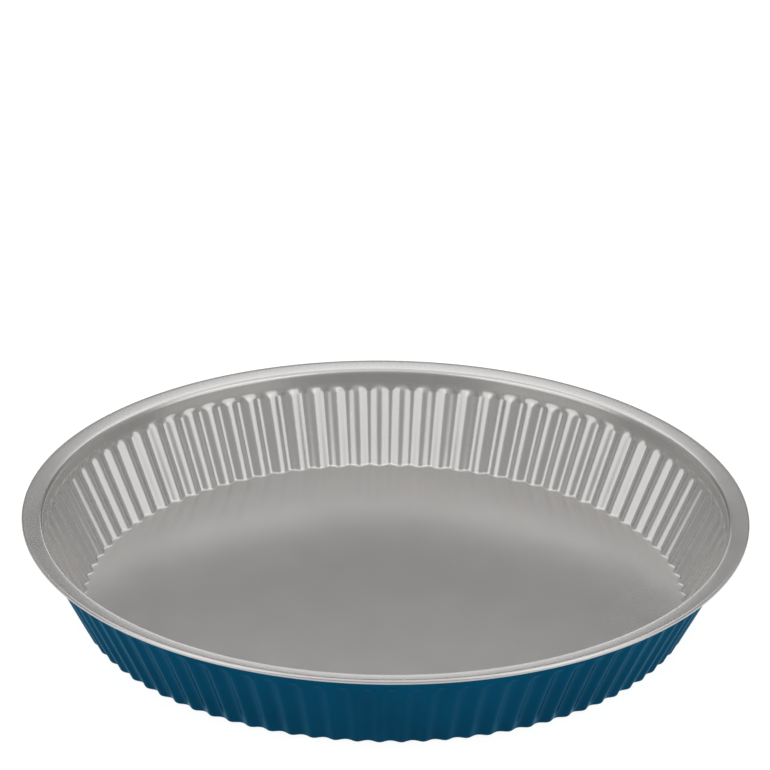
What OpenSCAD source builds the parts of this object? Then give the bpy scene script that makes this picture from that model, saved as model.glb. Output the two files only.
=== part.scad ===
// Round fluted baking tin, pressed from one coated steel blank.
// The blank is a sheet with a grey lining on its upper face and a blue coat on its lower face.
// All three layers run from the middle of the floor, up the fluted wall, over the rim and
// round the folded hem to the raw edge. Every surface is the steel's upper face moved by a
// depth: negative depths lie in the lining, zero is the steel's upper face, and depths past
// the steel's thickness lie in the blue coat.
// The origin is the middle of the underside, with +Z up.

/* [Overall] */
// Diameter over the folded rim
rim_d = 280; // [180:1:340]
// Height from the table to the highest point of the rim
dish_h = 37.5; // [30:0.5:55]
// Diameter of the floor, where the middle of the fluted wall would meet it
floor_d = 233.6; // [150:0.2:256]

/* [Flutes] */
// Number of flutes round the wall
flute_count = 90; // [60:1:110]
// Depth of a flute, from its outward lobe to its inward ridge
flute_depth = 1.5; // [0.4:0.1:2.5]
// Radius of the bend between floor and wall, on the steel's upper face
corner_r = 1.5; // [0.6:0.1:3]

/* [Rim] */
// Width of the rim, from the steel of the plain collar to the outer edge
rim_w = 8.2; // [6:0.1:14]
// Drop from the top of the rim to where the middle of the fluted wall meets the collar
collar_h = 7.2; // [6.5:0.1:12]
// Radius of the bend between collar and rim, on the steel's upper face
rim_bend_r = 2; // [1.2:0.1:2.4]
// Rise of the rim from its inner edge to its outer edge
rim_rise = 0.8; // [0:0.05:1.2]
// Width of the level seat between the rim's bend and its slope
seat_w = 1; // [0.8:0.1:2]
// Radius of the folded hem, on the steel's upper face
hem_r = 0.75; // [0.7:0.01:1]
// Width of the turned leg under the rim
hem_w = 2.6; // [1:0.1:3]

/* [Sheet] */
// Thickness of the steel
steel_t = 0.5; // [0.3:0.05:0.5]
// Thickness of the grey lining
lining_t = 0.05; // [0.04:0.01:0.1]
// Thickness of the blue coat
enamel_t = 0.05; // [0.04:0.01:0.1]

/* [Hidden] */
$fn = 180;

// Radii of the rim's edge, of the collar's steel and of the floor
rim_r = rim_d / 2;
collar_r = rim_r - rim_w;
floor_r = floor_d / 2;

// Heights of the steel's upper face on the floor, and of the wall's meeting with the collar
floor_z = steel_t + enamel_t;
wall_top_z = dish_h - collar_h;

// Lean of the wall from the upright
wall_run = collar_r - floor_r;
wall_rise = wall_top_z - floor_z;
wall_lean = atan2(wall_run, wall_rise);

// Slope of the rim, and the middle of the hem's fold
rim_slope = atan2(rim_rise, rim_w);
hem_fold = [rim_r - hem_r - lining_t, dish_h - hem_r - lining_t];

// The rim leaves its bend level, on a narrow seat, and slopes up from the seat's outer edge.
// The seat's height is the one from which the slope runs into the top of the hem.
bend_mid_r = collar_r + rim_bend_r;
seat_edge_r = bend_mid_r + seat_w;
seat_z = hem_fold[1]
    + (hem_r + sin(rim_slope) * (seat_edge_r - hem_fold[0])) / cos(rim_slope);
collar_top_z = seat_z - rim_bend_r;
turn_steps = 4;
hem_steps = 12;

// The fluted body and the rim are one sheet. Their solids overlap in the middle of the seat.
rim_start_r = bend_mid_r + seat_w / 4;
body_end_r = seat_edge_r - seat_w / 4;

// A flute has two columns of points on its lobe and two on its ridge, placed as shares of
// the pitch, and each column is out or in by half the flute's depth
column_shares = [-1/8, 1/8, 3/8, 5/8];
column_sides = [1, 1, -1, -1];
columns = len(column_shares);
column_count = flute_count * columns;
pitch = 360 / flute_count;
half_depth = flute_depth / 2;

// The smooth middle of the floor ends at a ring of one point to a flute
floor_ring_r = floor_r - 4 * flute_depth;

// Angle of a column, and how far out of the wall's middle it stands
function column_angle(i) = pitch * (floor(i / columns) + column_shares[i % columns]);
function column_shift(i) = half_depth * column_sides[i % columns];

// Height of the floor, and radius of the wall's middle at a height, for a depth in the sheet
function floor_height(depth) = floor_z - depth;
function wall_radius(z, depth) =
    floor_r + (z - floor_z) * tan(wall_lean) + depth / cos(wall_lean);
function corner_radius(depth) = wall_radius(floor_height(depth), depth);
function corner_tangent(depth) = (corner_r + depth) * tan((90 - wall_lean) / 2);

// Height at which a column leaves the cone of the wall for the upright collar
function leave_height(i, depth) =
    floor_z + (collar_r + depth - column_shift(i) - floor_r - depth / cos(wall_lean))
    / tan(wall_lean);

// Points of the column with number i, from its foot on the floor up to the collar
function foot_point(i, depth) =
    [corner_radius(depth) - corner_tangent(depth) + column_shift(i), floor_height(depth)];
function bend_point(i, depth) = [
    corner_radius(depth) + corner_tangent(depth) * sin(wall_lean) + column_shift(i),
    floor_height(depth) + corner_tangent(depth) * cos(wall_lean)
];
function leave_point(i, depth) = [collar_r + depth, leave_height(i, depth)];

// Section of the bend from the collar out to the seat, as the radius and height of each step
function turn_line(depth) = concat(
    [for (k = [0 : turn_steps])
        let (t = 90 * k / turn_steps)
        [bend_mid_r - (rim_bend_r - depth) * cos(t),
         collar_top_z + (rim_bend_r - depth) * sin(t)]],
    [[body_end_r, seat_z - depth]]
);
turn_rings = turn_steps + 2;

// Turns a radius and height into a place round the dish
function around(p, angle) = [p[0] * cos(angle), p[0] * sin(angle), p[1]];

// All points of one face of the fluted body: a ring of one point to a flute on the floor,
// three rings of columns up the wall, and rings of one point to a flute up to the seat
function face_points(depth) = concat(
    [for (k = [0 : flute_count - 1]) around([floor_ring_r, floor_height(depth)], pitch * k)],
    [for (i = [0 : column_count - 1]) around(foot_point(i, depth), column_angle(i))],
    [for (i = [0 : column_count - 1]) around(bend_point(i, depth), column_angle(i))],
    [for (i = [0 : column_count - 1]) around(leave_point(i, depth), column_angle(i))],
    [for (p = turn_line(depth)) for (k = [0 : flute_count - 1]) around(p, pitch * k)]
);

// Places in the list of points where the rings of columns and of turns start
foot_start = flute_count;
turn_start = flute_count + 3 * column_count;
end_start = turn_start + (turn_rings - 1) * flute_count;
face_size = turn_start + turn_rings * flute_count;

// Faces between rings, seen from above. A fan joins a ring of one point to a flute, f, to a
// ring of columns, c, and a band joins two rings of as many points.
function reversed(list) = [for (n = [len(list) - 1 : -1 : 0]) list[n]];
function turned(faces) = [for (f = faces) reversed(f)];
function fan_faces(f, c) = [
    for (k = [0 : flute_count - 1])
        let (f0 = f + k,
             f1 = f + (k + 1) % flute_count,
             c0 = c + columns * k,
             c4 = c + (columns * k + columns) % column_count)
        each [[f0, c0 + 1, c0], [f0, c0 + 2, c0 + 1], [f0, f1, c0 + 2],
              [f1, c0 + 3, c0 + 2], [f1, c4, c0 + 3]]
];
function band_faces(low, high, count) = [
    for (i = [0 : count - 1])
        let (j = (i + 1) % count)
        each [[low + i, low + j, high + j], [low + i, high + j, high + i]]
];
function skin_faces(start) = concat(
    [[for (k = [0 : flute_count - 1]) start + flute_count - 1 - k]],
    fan_faces(start, start + foot_start),
    [for (b = [0, 1])
        each band_faces(start + foot_start + b * column_count,
                        start + foot_start + (b + 1) * column_count, column_count)],
    turned(fan_faces(start + turn_start, start + turn_start - column_count)),
    [for (b = [0 : turn_rings - 2])
        each band_faces(start + turn_start + b * flute_count,
                        start + turn_start + (b + 1) * flute_count, flute_count)]
);

// Fluted body of one layer, between two depths in the sheet
module fluted_body(upper, lower) {
    polyhedron(
        points = concat(face_points(upper), face_points(lower)),
        faces = concat(
            skin_faces(0),
            turned(skin_faces(face_size)),
            band_faces(end_start, face_size + end_start, flute_count)
        ),
        convexity = 6
    );
}

// Section line of the rim at a depth: level seat, slope, fold and turned leg
function rim_line(depth) = concat(
    [[rim_start_r, seat_z - depth]],
    [[seat_edge_r + depth * tan(rim_slope / 2), seat_z - depth]],
    [for (k = [0 : hem_steps])
        let (t = 90 + rim_slope - 180 * k / hem_steps)
        hem_fold + (hem_r - depth) * [cos(t), sin(t)]],
    [hem_fold + (hem_r - depth) * [sin(rim_slope), -cos(rim_slope)]
        - hem_w * [cos(rim_slope), sin(rim_slope)]]
);

// Rim of one layer, between two depths in the sheet
module rim_ring(upper, lower) {
    rotate_extrude()
        polygon(concat(rim_line(lower), reversed(rim_line(upper))));
}

module layer(upper, lower) {
    union() {
        fluted_body(upper, lower);
        rim_ring(upper, lower);
    }
}

module steel_shell() {
    color("silver") layer(0, steel_t);
}

module grey_lining() {
    color("#9b9896") layer(-lining_t, 0);
}

module blue_coat() {
    color("#063f5b") layer(steel_t, steel_t + enamel_t);
}

steel_shell();
grey_lining();
blue_coat();
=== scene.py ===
# %% [markdown]
# # A fluted baking tin
# The real tin starts as one round blank of coated steel sheet. A press draws it into a
# shallow dish with ninety flutes, and a second tool folds its edge under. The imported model
# is the frame of this scene and gives the sizes. The pieces made here take the place of its
# plain solids.

# %% Load the frame
import math

import bmesh
import bpy
from mathutils import Matrix, Vector


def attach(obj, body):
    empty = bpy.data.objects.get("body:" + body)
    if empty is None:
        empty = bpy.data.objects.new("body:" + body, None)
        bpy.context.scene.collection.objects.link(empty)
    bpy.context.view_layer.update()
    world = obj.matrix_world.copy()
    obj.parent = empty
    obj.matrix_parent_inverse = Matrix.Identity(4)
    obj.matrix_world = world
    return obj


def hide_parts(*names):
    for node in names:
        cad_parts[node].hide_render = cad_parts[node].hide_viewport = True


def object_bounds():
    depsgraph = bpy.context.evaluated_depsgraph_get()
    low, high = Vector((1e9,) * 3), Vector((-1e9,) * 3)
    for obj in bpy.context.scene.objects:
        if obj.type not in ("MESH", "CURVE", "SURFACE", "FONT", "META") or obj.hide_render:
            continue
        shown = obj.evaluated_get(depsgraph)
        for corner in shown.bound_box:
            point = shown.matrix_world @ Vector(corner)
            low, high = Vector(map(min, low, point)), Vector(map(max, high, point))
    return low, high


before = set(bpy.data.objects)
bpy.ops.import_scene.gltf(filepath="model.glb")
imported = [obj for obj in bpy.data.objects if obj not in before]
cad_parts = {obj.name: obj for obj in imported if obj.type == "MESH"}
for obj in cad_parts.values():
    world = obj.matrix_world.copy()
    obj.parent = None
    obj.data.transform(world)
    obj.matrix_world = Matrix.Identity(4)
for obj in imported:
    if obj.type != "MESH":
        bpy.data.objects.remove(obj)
cad_low, cad_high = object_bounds()
print("the frame reaches", [round(v, 4) for v in cad_high], "metres")

# %% [markdown]
# ## Sizes of the pressing
# The frame gives the rim's radius and the dish's height. The other sizes are those of the
# real pressing, in millimetres, and the rest is worked out from them. The wall leans, the
# rim rises a little towards its edge, less and less, and the sheet is half a millimetre of
# steel.

# %% Sizes in millimetres
MM = 0.001
rim_r = cad_high[0] / MM
dish_h = cad_high[2] / MM
floor_r = 116.8
flute_count = 90
flute_depth = 1.5
corner_r = 1.5
rim_w = 8.2
collar_h = 7.2
rim_bend_r = 2.0
hem_r = 0.75
hem_w = 2.6
steel_t = 0.5
lining_t = 0.05
enamel_t = 0.05

collar_r = rim_r - rim_w
floor_z = steel_t + enamel_t
wall_top_z = dish_h - collar_h
wall_lean = math.atan2(collar_r - floor_r, wall_top_z - floor_z)
print("the wall leans", round(math.degrees(wall_lean), 1), "degrees")

# %% [markdown]
# ## A pen that draws bends
# A section through sheet metal is made of straights and bends. Two small helpers draw it
# with mesh operators: one extrudes the last vertex to a new place, and the other spins it
# round a middle, which leaves a bend of even steps. Each new vertex also takes a note of how
# far it will follow the flutes.

# %% Helpers that draw a section
def draw_straight(bm, pen, r, z, follow, cuts=0):
    """Extrudes the last vertex to a radius and height, with some vertices on the way."""
    share = bm.verts.layers.float["follow"]
    start = pen.co.copy()
    end = Vector((r, 0, z))
    for step in range(1, cuts + 2):
        pen = bmesh.ops.extrude_vert_indiv(bm, verts=[pen])["verts"][0]
        pen.co = start.lerp(end, step / (cuts + 1))
        pen[share] = follow
    return pen


def draw_bend(bm, pen, middle, degrees, steps, follow):
    """Spins the last vertex round a middle. Positive angles turn from the floor upwards."""
    share = bm.verts.layers.float["follow"]
    known = set(bm.verts)
    made = bmesh.ops.spin(bm, geom=[pen], cent=(middle[0], 0, middle[1]), axis=(0, -1, 0),
                          angle=math.radians(degrees), steps=steps)
    for vert in set(bm.verts) - known:
        vert[share] = follow
    return made["geom_last"][0]


# %% [markdown]
# ## The crown of the rim
# The real rim isn't flat. It leaves the bend at the collar with a tilt, and arrives at the
# fold of the hem with less of it, so it is a very shallow crown. The radius of the crown
# follows from the two tilts and the width, and its middle from the fold.

# %% Work out the crown
# Tilt of the rim in degrees, where it leaves the bend and where it meets the fold
RIM_TILTS = (10, 5.5)


def tilted(degrees):
    """The direction that leans in from the upright by an angle, as a radius and a height."""
    return Vector((-math.sin(math.radians(degrees)), math.cos(math.radians(degrees))))


tilt_in, tilt_out = RIM_TILTS
fold = Vector((rim_r - hem_r - lining_t, dish_h - hem_r - lining_t))
crown_end_r = fold.x + hem_r * tilted(tilt_out).x
crown_start_r = collar_r + rim_bend_r + rim_bend_r * tilted(tilt_in).x
crown_r = (crown_end_r - crown_start_r) / (tilted(tilt_out).x - tilted(tilt_in).x)
crown = fold - (crown_r - hem_r) * tilted(tilt_out)
bend = crown + (crown_r - rim_bend_r) * tilted(tilt_in)
print("the rim's crown has a radius of", round(crown_r), "mm")

# %% [markdown]
# ## The section of one face
# The floor, the corner, the fluted wall, the plain collar, the bend, the rim and the hem
# follow each other in one line. Every face of every layer is this line at some depth in the
# sheet, so one function draws them all, and layers that touch share the same surface. The
# rows of vertices lie closest where the flutes end in arches.

# %% Draw the line of one face
CORNER_STEPS = 5
WALL_CUTS = 2
ARCH_CUTS = 9
BEND_STEPS = 6
HEM_STEPS = 8
RIM_STEPS = 5
# Rings on the floor, as distances from the wall's foot: the flat one and the one that eases
FLAT_RING = 6
EASED_RING = 2
EASED_SHARE = 0.4
# The arches reach this far below and above the height where wall and collar meet
ARCH_BELOW = 2.6
ARCH_ABOVE = 1.2
arch_low_z = wall_top_z - ARCH_BELOW
arch_high_z = wall_top_z + ARCH_ABOVE


def wall_radius(z, depth):
    """Radius of the middle of the wall at a height, for a depth in the sheet."""
    return floor_r + (z - floor_z) * math.tan(wall_lean) + depth / math.cos(wall_lean)


def draw_face(bm, depth):
    """Draws the section of the face at a depth below the steel's upper face."""
    z = floor_z - depth
    foot_r = wall_radius(z, depth) - (corner_r + depth) * math.tan((math.pi / 2 - wall_lean) / 2)
    upright = 90 - math.degrees(wall_lean)

    pen = bm.verts.new((0, 0, z))
    pen = draw_straight(bm, pen, foot_r - FLAT_RING, z, follow=0, cuts=1)
    pen = draw_straight(bm, pen, foot_r - EASED_RING, z, follow=EASED_SHARE)
    pen = draw_straight(bm, pen, foot_r, z, follow=1)
    pen = draw_bend(bm, pen, (foot_r, z + corner_r + depth), upright, CORNER_STEPS, follow=1)
    pen = draw_straight(bm, pen, wall_radius(arch_low_z, depth), arch_low_z, 1, WALL_CUTS)
    pen = draw_straight(bm, pen, wall_radius(arch_high_z, depth), arch_high_z, 1, ARCH_CUTS)
    pen = draw_straight(bm, pen, collar_r + depth, bend.y, follow=0)
    pen = draw_bend(bm, pen, bend, tilt_in - 90, BEND_STEPS, follow=0)
    pen = draw_bend(bm, pen, crown, tilt_out - tilt_in, RIM_STEPS, follow=0)
    pen = draw_bend(bm, pen, fold, -180, HEM_STEPS, follow=0)
    leg = Vector((pen.co.x, pen.co.z)) + hem_w * tilted(tilt_out + 90)
    return draw_straight(bm, pen, leg.x, leg.y, follow=0)


# %% [markdown]
# ## The wave of a flute
# Round the wall the sheet waves out on a lobe and in on a ridge, with lobes a little
# narrower than ridges. Just under the collar the wave runs out, its lobes get narrower
# still, and the upright collar stops what would stand past it. That leaves the row of arches
# that the real tin has.

# %% Shape of the wave
# How strongly the columns of vertices gather at the lobe and the ridge
GATHERED = 0.3
# How much narrower a lobe is than a ridge, on the wall and in the arch, as a shift in phase
WALL_NARROWING = 0.12
ARCH_NARROWING = 0.35
# Millimetres: height over which lobes get narrower, and reach of the blend at the collar
NARROWING_DEPTH = 2.5
ARCH_BLEND = 0.9


def eased(value, start, end):
    """Goes smoothly from 0 at the start to 1 at the end."""
    share = min(max((value - start) / (end - start), 0), 1)
    return share * share * (3 - 2 * share)


def flute_wave(phase, z):
    """The wave at a height, from 1 on a lobe to -1 on a ridge, and 0 where the flutes end."""
    arch = eased(z, wall_top_z - NARROWING_DEPTH, wall_top_z)
    narrowing = WALL_NARROWING + (ARCH_NARROWING - WALL_NARROWING) * arch
    left = 1 - eased(z, arch_low_z, arch_high_z)
    return left * math.cos(phase + narrowing * math.sin(phase))


def stopped_by_collar(r, limit):
    """The smaller of two radii, with a blend where they are near each other."""
    near = max(ARCH_BLEND - abs(r - limit), 0)
    return min(r, limit) - near * near / (4 * ARCH_BLEND)


def press_flute(bm):
    """Moves one pitch into the wave of a flute, with more columns where the bend is tight."""
    follow = bm.verts.layers.float["follow"]
    depth = bm.verts.layers.float["depth"]
    for vert in bm.verts:
        r = math.hypot(vert.co.x, vert.co.y)
        angle = math.atan2(vert.co.y, vert.co.x)
        angle -= GATHERED * math.sin(flute_count * angle) / flute_count
        if vert[follow]:
            r += vert[follow] * flute_wave(flute_count * angle, vert.co.z) * flute_depth / 2
            r = stopped_by_collar(r, collar_r + vert[depth])
        vert.co.x = r * math.cos(angle)
        vert.co.y = r * math.sin(angle)


# %% [markdown]
# ## One flute, then ninety
# The flutes repeat every four degrees, so only one is shaped. The section is spun through
# one pitch and pressed into the wave. The finished flute is then spun round the tin with
# copies, and the copies are merged. A layer of the sheet is the face above, the face below
# and the raw edge between them, so it comes out as one closed piece. Spin makes the new
# faces in an order that changes from run to run. They are put in order before the flute is
# copied, so that every run gives the same mesh.

# %% Press the three layers of the sheet
STEPS_PER_FLUTE = 12
# Vertices closer than this, in millimetres, become one, and sharper edges than this stay crisp
MERGE = 0.002
SHARP = math.radians(50)


def put_in_order(bm):
    """Sorts the edges and the faces by the numbers of their vertices."""
    bm.verts.index_update()
    for parts in (bm.edges, bm.faces):
        ordered = sorted(parts, key=lambda part: sorted(vert.index for vert in part.verts))
        for place, part in enumerate(ordered):
            part.index = place
        parts.sort()


def press_layer(name, upper, lower):
    """Makes one closed layer of the sheet, from its upper to its lower depth."""
    bm = bmesh.new()
    bm.verts.layers.float.new("follow")
    deep = bm.verts.layers.float.new("depth")
    ends = []
    for depth in (upper, lower):
        known = set(bm.verts)
        ends.append(draw_face(bm, depth))
        for vert in set(bm.verts) - known:
            vert[deep] = depth
    bm.edges.new(ends)

    pitch = math.tau / flute_count
    bmesh.ops.spin(bm, geom=bm.verts[:] + bm.edges[:], cent=(0, 0, 0), axis=(0, 0, 1),
                   angle=pitch, steps=STEPS_PER_FLUTE)
    put_in_order(bm)
    press_flute(bm)
    bmesh.ops.spin(bm, geom=bm.verts[:] + bm.edges[:] + bm.faces[:], cent=(0, 0, 0),
                   axis=(0, 0, 1), angle=math.tau - pitch, steps=flute_count - 1,
                   use_duplicate=True)
    bmesh.ops.remove_doubles(bm, verts=bm.verts[:], dist=MERGE)
    bmesh.ops.recalc_face_normals(bm, faces=bm.faces[:])
    bmesh.ops.scale(bm, vec=(MM, MM, MM), verts=bm.verts[:])
    for face in bm.faces:
        face.smooth = True
    for edge in bm.edges:
        edge.smooth = edge.calc_face_angle(0) < SHARP
    print(name, "is closed:", all(edge.is_manifold for edge in bm.edges))

    mesh = bpy.data.meshes.new(name)
    bm.to_mesh(mesh)
    bm.free()
    piece = bpy.data.objects.new(name, mesh)
    bpy.context.scene.collection.objects.link(piece)
    print(name, "has", len(mesh.polygons), "faces")
    return piece


lining = press_layer("lining", -lining_t, 0)
steel = press_layer("steel_sheet", 0, steel_t)
coat = press_layer("outer_coat", steel_t, steel_t + enamel_t)

# %% [markdown]
# ## Helpers for finishes
# No coat is one flat colour. A noise that reads the place on the tin can drive a colour, a
# roughness or a bump, and a few helpers keep each finish short. The noise works in metres on
# the tin itself, so its patterns keep their real scale on every part of it.

# %% Nodes that the finishes share
# A noise hardly ever leaves its middle, so only the middle is spread over numbers and colours
NOISE_MIDDLE = (0.25, 0.75)
RAMP_MIDDLE = (0.3, 0.7)
PEEL_HEIGHT = 0.02 * MM


def new_finish(name):
    """A material with its nodes, its links and its main shader."""
    material = bpy.data.materials.new(name)
    material.use_nodes = True
    nodes = material.node_tree.nodes
    return material, nodes, material.node_tree.links, nodes["Principled BSDF"]


def place_on_tin(nodes):
    """The place on the tin, in metres."""
    return nodes.new("ShaderNodeTexCoord").outputs["Object"]


def noise(nodes, links, place, per_metre, detail):
    """A soft random pattern with a number of waves to the metre."""
    node = nodes.new("ShaderNodeTexNoise")
    node.inputs["Scale"].default_value = per_metre
    node.inputs["Detail"].default_value = detail
    links.new(place, node.inputs["Vector"])
    return node.outputs["Fac"]


def between(nodes, links, value, low, high):
    """Spreads the middle half of a noise over a range of numbers."""
    node = nodes.new("ShaderNodeMapRange")
    node.inputs["From Min"].default_value = NOISE_MIDDLE[0]
    node.inputs["From Max"].default_value = NOISE_MIDDLE[1]
    node.inputs["To Min"].default_value = low
    node.inputs["To Max"].default_value = high
    links.new(value, node.inputs["Value"])
    return node.outputs["Result"]


def shades(nodes, links, value, dark, light):
    """Spreads the middle of a noise over two colours."""
    node = nodes.new("ShaderNodeValToRGB")
    for end, place, colour in zip(node.color_ramp.elements, RAMP_MIDDLE, (dark, light)):
        end.position = place
        end.color = (*colour, 1)
    links.new(value, node.inputs["Fac"])
    return node.outputs["Color"]


def multiply(nodes, links, a, b):
    """One colour darkened by another."""
    node = nodes.new("ShaderNodeMix")
    node.data_type = "RGBA"
    node.blend_type = "MULTIPLY"
    node.inputs["Factor"].default_value = 1.0
    links.new(a, node.inputs["A"])
    links.new(b, node.inputs["B"])
    return node.outputs["Result"]


def orange_peel(nodes, links, shader, height, strength):
    """The fine bumps of a sprayed skin."""
    node = nodes.new("ShaderNodeBump")
    node.inputs["Strength"].default_value = strength
    node.inputs["Distance"].default_value = PEEL_HEIGHT
    links.new(height, node.inputs["Height"])
    links.new(node.outputs["Normal"], shader.inputs["Normal"])


# %% [markdown]
# ## The grey lining
# The lining is a baked non-stick coat with fine metal flakes, half mirror and half matt. A
# fine noise stands for the flakes, and a broad one gives a faint mottle to its colour and
# gloss. Its orange peel is very low, because the real lining is smooth and satin.

# %% Grey lining
def lining_finish():
    """Satin grey with fine flakes."""
    material, nodes, links, shader = new_finish("grey_nonstick")
    place = place_on_tin(nodes)
    flakes = noise(nodes, links, place, per_metre=2400, detail=1.0)
    mottle = noise(nodes, links, place, per_metre=60, detail=3.0)
    peel = noise(nodes, links, place, per_metre=900, detail=2.0)
    fine = shades(nodes, links, flakes, dark=(0.488, 0.478, 0.468), light=(0.512, 0.501, 0.491))
    broad = shades(nodes, links, mottle, dark=(0.975, 0.975, 0.975), light=(1, 1, 1))
    links.new(multiply(nodes, links, fine, broad), shader.inputs["Base Color"])
    shader.inputs["Metallic"].default_value = 0.72
    links.new(between(nodes, links, mottle, low=0.235, high=0.25), shader.inputs["Roughness"])
    orange_peel(nodes, links, shader, peel, strength=0.012)
    return material


# %% [markdown]
# ## The blue coat
# The outside is a dark blue metallic lacquer, so what it mirrors turns blue as well. A plain
# blue paint would mirror the white table as a grey veil. Most of the shader is therefore
# metal, with a blue tint at its edges too, and the rest is paint with hardly any gloss.

# %% Blue coat
def coat_finish():
    """Semi-gloss dark blue lacquer."""
    material, nodes, links, shader = new_finish("blue_lacquer")
    place = place_on_tin(nodes)
    cloud = noise(nodes, links, place, per_metre=45, detail=3.0)
    peel = noise(nodes, links, place, per_metre=700, detail=2.0)
    blue = shades(nodes, links, cloud, dark=(0.0010, 0.051, 0.106), light=(0.0014, 0.061, 0.126))
    links.new(blue, shader.inputs["Base Color"])
    shader.inputs["Metallic"].default_value = 0.8
    shader.inputs["Specular IOR Level"].default_value = 0.1
    shader.inputs["Specular Tint"].default_value = (0.42, 0.68, 0.84, 1)
    links.new(between(nodes, links, cloud, low=0.20, high=0.24), shader.inputs["Roughness"])
    orange_peel(nodes, links, shader, peel, strength=0.12)
    return material


# %% [markdown]
# ## The bare steel
# The sheet shows only as a line at its raw edge, inside the hem. It is cold-rolled, which
# leaves a dull mirror with a cloudy grain, so one noise drives its colour and its roughness.

# %% Bare steel
def steel_finish():
    """Cold-rolled sheet steel."""
    material, nodes, links, shader = new_finish("cold_rolled_steel")
    grain = noise(nodes, links, place_on_tin(nodes), per_metre=400, detail=4.0)
    grey = shades(nodes, links, grain, dark=(0.50, 0.50, 0.49), light=(0.62, 0.62, 0.61))
    links.new(grey, shader.inputs["Base Color"])
    shader.inputs["Metallic"].default_value = 1.0
    links.new(between(nodes, links, grain, low=0.28, high=0.40), shader.inputs["Roughness"])
    return material


# %% [markdown]
# ## Dressing the pieces
# Each layer takes its finish and the place of its plain solid. Nothing on the tin moves, so
# all three ride on the one body that the frame has.

# %% Dress the pieces and join them to the frame
for piece, finish, node, slot in ((lining, lining_finish(), "grey_lining", "grey_lining"),
                                  (steel, steel_finish(), "steel_shell", "steel"),
                                  (coat, coat_finish(), "blue_coat", "blue_coat")):
    piece.data.materials.append(finish)
    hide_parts(node)
    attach(piece, "root")
    print(piece.name, "wears", finish.name)

# %% [markdown]
# ## Floor and surroundings
# The tin stands on a plain white table in a dim grey room. The light that falls on the table
# meets an ordinary matt white. To the camera and to the metal the table glows as well, so it
# reads as clean white behind the tin and as a bright field in the blue coat. Under the glow
# it is still matt, so that it also shows the tin's shadow.

# %% Floor and room
FLOOR_HALF = 3.0
FLOOR_GAP = 0.05 * MM
FLOOR_GREY = 0.8
FLOOR_ROUGHNESS = 0.9
# A grey and a glow, as the metal and the camera see them
FLOOR_IN_METAL = (0.5, 0.55)
FLOOR_IN_CAMERA = (0.20, 0.92)
ROOM_GREY = 0.06


def glowing(nodes, links, grey, strength):
    """A plain grey that also glows white."""
    matt = nodes.new("ShaderNodeBsdfDiffuse")
    matt.inputs["Color"].default_value = (grey, grey, grey, 1)
    glow = nodes.new("ShaderNodeEmission")
    glow.inputs["Strength"].default_value = strength
    both = nodes.new("ShaderNodeAddShader")
    links.new(matt.outputs[0], both.inputs[0])
    links.new(glow.outputs[0], both.inputs[1])
    return both.outputs[0]


def floor_finish():
    """Matt white that glows for the camera and for reflections."""
    material, nodes, links, shader = new_finish("white_floor")
    shader.inputs["Base Color"].default_value = (FLOOR_GREY, FLOOR_GREY, FLOOR_GREY, 1)
    shader.inputs["Roughness"].default_value = FLOOR_ROUGHNESS
    shader.inputs["Specular IOR Level"].default_value = 0.0
    path = nodes.new("ShaderNodeLightPath")
    in_metal = glowing(nodes, links, *FLOOR_IN_METAL)
    in_camera = glowing(nodes, links, *FLOOR_IN_CAMERA)
    surface = shader.outputs[0]
    for ray, look in (("Is Glossy Ray", in_metal), ("Is Transmission Ray", in_metal),
                      ("Is Camera Ray", in_camera)):
        mix = nodes.new("ShaderNodeMixShader")
        links.new(path.outputs[ray], mix.inputs["Fac"])
        links.new(surface, mix.inputs[1])
        links.new(look, mix.inputs[2])
        surface = mix.outputs[0]
    links.new(surface, nodes["Material Output"].inputs["Surface"])
    return material


def add_white_floor():
    """One wide square, a hair below the tin so that the two don't share a surface."""
    bm = bmesh.new()
    bmesh.ops.create_grid(bm, x_segments=1, y_segments=1, size=FLOOR_HALF)
    bmesh.ops.translate(bm, vec=(0, 0, -FLOOR_GAP), verts=bm.verts[:])
    mesh = bpy.data.meshes.new("floor")
    bm.to_mesh(mesh)
    bm.free()
    floor = bpy.data.objects.new("floor", mesh)
    bpy.context.scene.collection.objects.link(floor)
    mesh.materials.append(floor_finish())
    print("the floor is", 2 * FLOOR_HALF, "metres wide")


def light_the_room(grey):
    """One plain grey on every side."""
    world = bpy.data.worlds.new("room")
    bpy.context.scene.world = world
    world.use_nodes = True
    world.node_tree.nodes["Background"].inputs["Color"].default_value = (grey, grey, grey, 1)


add_white_floor()
light_the_room(ROOM_GREY)

# %% [markdown]
# ## Camera
# The photograph was taken with a long lens from nearly two metres away and 25 degrees up.
# The flutes show how far the view is turned: no lobe lies right at the front.

# %% Camera
PHOTO_SIDE_PX = 770
FOCAL_PX = 5085
SENSOR_MM = 36
FAR_CLIP = 20
view_height = math.radians(24.729)
view_roll = math.radians(0.714)
view_distance = 1936.1 * MM
view_turn = Matrix.Rotation(math.radians(-1.34), 4, "Z")
aim = Vector((-0.885, 0, 90.6)) * MM

forward = Vector((0, math.cos(view_height), -math.sin(view_height)))
level = Vector((1, 0, 0))
above = level.cross(forward)
right = math.cos(view_roll) * level + math.sin(view_roll) * above
up = math.cos(view_roll) * above - math.sin(view_roll) * level
pose = Matrix((right, up, -forward)).transposed().to_4x4()
pose.translation = aim - forward * view_distance

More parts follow.
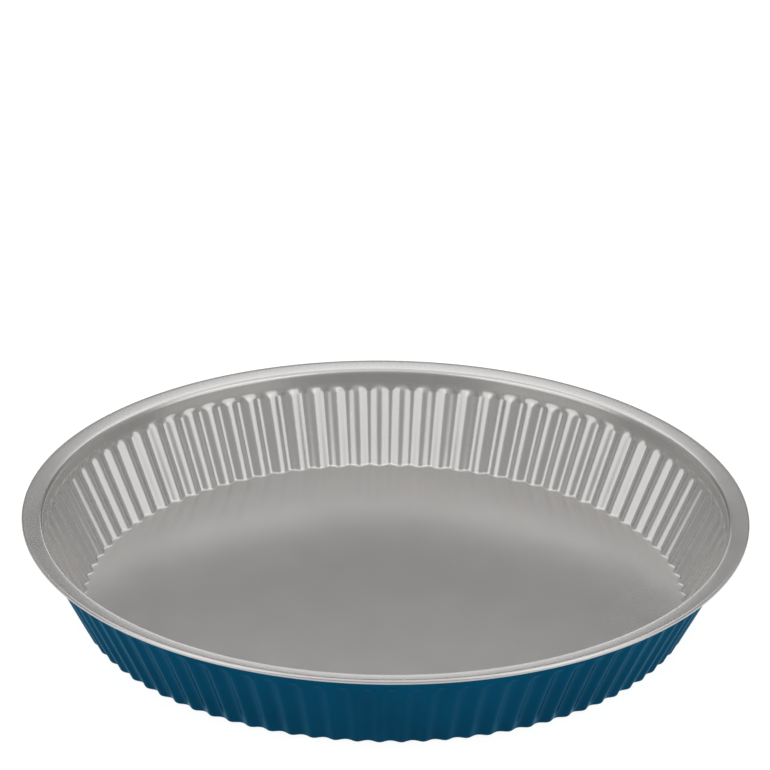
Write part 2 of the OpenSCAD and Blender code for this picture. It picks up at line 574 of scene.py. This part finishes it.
lens = bpy.data.cameras.new("camera")
lens.sensor_width = SENSOR_MM
lens.lens = FOCAL_PX * SENSOR_MM / PHOTO_SIDE_PX
lens.clip_end = FAR_CLIP
camera = bpy.data.objects.new("camera", lens)
camera.matrix_world = view_turn @ pose
bpy.context.scene.collection.objects.link(camera)
bpy.context.scene.camera = camera
print("a lens of", round(lens.lens), "mm at", round(view_distance, 2), "metres")

# %% [markdown]
# ## Lights
# Ten soft boxes light the tin, as in a studio. Each flute shows the two side boxes, and that
# makes the paired stripes round the back of the wall. The box above lights the floor and its
# corner. The two boxes behind it light the far side of the rim, and the low one behind draws
# the bright inner line of its near side. The dim boxes in front and the two fills beside the
# back keep the metal between the stripes grey.

# %% Soft boxes
def soft_box(name, azimuth, elevation, distance, size, radiance):
    """A square-on area light, placed by direction in degrees and lit to a given radiance."""
    data = bpy.data.lights.new(name, "AREA")
    data.shape = "RECTANGLE"
    data.size, data.size_y = size
    data.energy = radiance * math.pi * data.size * data.size_y
    a = math.radians(azimuth)
    e = math.radians(elevation)
    place = distance * Vector((math.cos(e) * math.cos(a), math.cos(e) * math.sin(a), math.sin(e)))
    light = bpy.data.objects.new(name, data)
    facing = place.to_track_quat("Z", "Y").to_matrix().to_4x4()
    light.matrix_world = view_turn @ Matrix.Translation(place) @ facing
    bpy.context.scene.collection.objects.link(light)


# Name, azimuth, elevation, distance, width and height in metres, and radiance
SOFT_BOXES = (
    ("left_box", 208, 30, 1.2, (1.06, 1.4), 1.45),
    ("right_box", -28, 30, 1.2, (1.06, 1.4), 1.45),
    ("top_box", 90, 86, 1.4, (2.8, 1.9), 1.05),
    ("back_box", 90, 46, 1.8, (1.6, 0.58), 1.6),
    ("back_fringe", 90, 35, 1.8, (1.6, 0.17), 0.7),
    ("low_back_box", 90, 10.5, 2.4, (1.3, 0.5), 1.4),
    ("front_box", 270, 26, 2.4, (3.2, 1.5), 0.38),
    ("high_front_box", 270, 55, 2.4, (2.8, 1.1), 0.55),
    ("left_fill", 153, 20, 1.8, (1.5, 0.9), 0.36),
    ("right_fill", 27, 20, 1.8, (1.5, 0.9), 0.36),
)
for box in SOFT_BOXES:
    soft_box(*box)
print(len(SOFT_BOXES), "soft boxes")
bpy.context.scene.view_settings.view_transform = "Standard"
